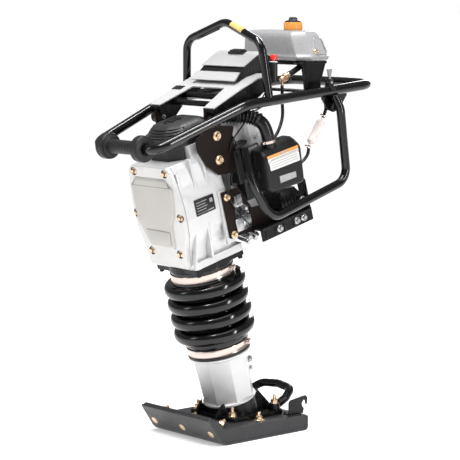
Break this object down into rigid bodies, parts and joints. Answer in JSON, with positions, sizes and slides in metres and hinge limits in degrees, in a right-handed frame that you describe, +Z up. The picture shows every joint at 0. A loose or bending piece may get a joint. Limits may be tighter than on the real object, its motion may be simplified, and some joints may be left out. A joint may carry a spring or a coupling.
{
  "type": "jumping jack rammer",
  "caption": "Upright petrol soil rammer: leaning leg with rubber bellows on a flat shoe, crankcase and engine above, isolated tube handle with tank and roller.",
  "frame": {"origin": "where the leg's axis meets the ground under the flat sole, in the machine's middle plane", "axes": "+Z up, -Y the travel direction (the way the leg leans), +X the machine's side that carries the air box and the guard"},
  "size_m": [0.3917, 0.7775, 1.132],
  "materials": {
    "shoe_paint": "dark grey semi-matt paint",
    "shoe_filler": "hard black plastic",
    "gold_zinc": "yellow zinc plating",
    "black_paint": "satin black paint",
    "dark_paint": "very dark brown-black paint",
    "gloss_black": "gloss black powder coat",
    "silver_casting": "silver painted casting",
    "cover_casting": "warm light grey painted casting",
    "brass": "satin",
    "spring_steel": "oiled spring steel",
    "machined_steel": "machined",
    "band_steel": "polished stainless band",
    "bellows_rubber": "glossy black rubber",
    "roller_rubber": "matt black rubber",
    "mount_rubber": "matt dark rubber",
    "hose_rubber": "satin black rubber",
    "black_plastic": "matt black moulded plastic",
    "grey_plastic": "dark grey moulded plastic",
    "tank_plastic": "mid grey moulded polyethylene",
    "cap_plastic": "orange ring with a black knob",
    "switch_body": "black plastic and steel",
    "red_plastic": "red",
    "pale_panel": "pale silver-grey paint",
    "filter_plastic": "translucent pinkish white"
  },
  "bodies": {
    "machine": {"upper_spring": "spring_steel", "piston_rod": "spring_steel", "bellows": "bellows_rubber", "upper_band": "band_steel", "guide_tube": "machined_steel", "flange_plate": "black_paint", "flange_bolts": "machined_steel", "crankcase": "silver_casting", "front_cover": "cover_casting", "case_bolts": "gold_zinc", "upper_brackets": "dark_paint", "lower_brackets": "black_paint", "bearings": "machined_steel", "con_rod": "machined_steel", "engine_block": "silver_casting", "engine_shroud": "silver_casting", "recoil_housing": "black_plastic", "muffler": "dark_paint", "carburetor": "silver_casting", "air_box": "black_plastic", "engine_base": "black_paint", "cleaner_base": "black_plastic", "cleaner_cover": "grey_plastic", "intake_hose": "hose_rubber", "mount_rubbers": "mount_rubber"},
    "foot": {"shoe_plate": "shoe_paint", "shoe_core": "shoe_filler", "shoe_bolts": "gold_zinc", "foot_casting": "black_paint", "foot_nuts": "gold_zinc", "foot_loop": "black_paint", "hook_bracket": "black_paint", "spring_cylinder": "silver_casting", "sight_glass": "brass", "lower_band": "band_steel", "lower_spring": "spring_steel"},
    "handle": {"handle_frame": "gloss_black", "lifting_arch": "gloss_black", "guard_loop": "gloss_black", "side_frame": "black_paint", "deck_cover": "pale_panel", "hood": "black_plastic", "hood_panels": "pale_panel", "hood_latch": "black_plastic", "fuel_tank": "tank_plastic", "tank_brackets": "black_paint", "fuel_valve": "brass", "control_housing": "switch_body", "fuel_hose": "hose_rubber", "return_hose": "hose_rubber", "fuel_filter": "filter_plastic", "mount_pins": "machined_steel"},
    "roller": {"roller": "roller_rubber"},
    "filler_cap": {"fuel_cap": "cap_plastic"},
    "stop_button": {"stop_button": "red_plastic"},
    "throttle": {"throttle_lever": "grey_plastic"},
    "crank": {"crank_gear": "machined_steel"},
    "clutch": {"clutch_drum": "machined_steel"},
    "engine_rotor": {"engine_shaft": "machined_steel"},
    "starter": {"starter_grip": "black_plastic"}
  },
  "joints": [
    {"name": "foot_stroke", "type": "slide", "parent": "machine", "child": "foot", "axis": [0, 0.2588, -0.9659], "range_m": [-0.03, 0.035], "stiffness_N_per_m": 40000, "springref_m": 0.015, "deforming": ["bellows", "upper_spring", "lower_spring"]},
    {"name": "crank_spin", "type": "hinge", "parent": "machine", "child": "crank", "pos_m": [0, -0.16564, 0.61819], "axis": [0, 0.9659, 0.2588], "continuous": true},
    {"name": "clutch_spin", "type": "hinge", "parent": "machine", "child": "clutch", "pos_m": [0, -0.18635, 0.69547], "axis": [0, 0.9659, 0.2588], "continuous": true},
    {"name": "engine_spin", "type": "hinge", "parent": "machine", "child": "engine_rotor", "pos_m": [0, -0.18635, 0.69547], "axis": [0, 0.9659, 0.2588], "continuous": true},
    {"name": "starter_pull", "type": "slide", "parent": "machine", "child": "starter", "axis": [0, 0.9659, 0.2588], "range_m": [0, 0.35], "stiffness_N_per_m": 40, "springref_m": -0.25},
    {"name": "handle_tilt", "type": "hinge", "parent": "machine", "child": "handle", "pos_m": [0, -0.17857, 0.86734], "axis": [1, 0, 0], "range_deg": [-2, 2], "stiffness_Nm_per_rad": 4000, "springref_deg": 0.54},
    {"name": "roller_spin", "type": "hinge", "parent": "handle", "child": "roller", "pos_m": [0, -0.383, 0.801], "axis": [1, 0, 0], "continuous": true},
    {"name": "cap_turn", "type": "hinge", "parent": "handle", "child": "filler_cap", "pos_m": [0.004, 0.206, 1.1], "axis": [0, 0, 1], "range_deg": [0, 120]},
    {"name": "button_press", "type": "slide", "parent": "handle", "child": "stop_button", "axis": [0, 0, -1], "range_m": [0, 0.004], "stiffness_N_per_m": 800, "springref_m": -0.003},
    {"name": "throttle_tip", "type": "hinge", "parent": "handle", "child": "throttle", "pos_m": [0.173, 0.184, 0.9585], "axis": [1, 0, 0], "range_deg": [-20, 28]}
  ],
  "couplings": [
    {"joint": "clutch_spin", "follows": "crank_spin", "ratio": -3.5714}
  ]
}
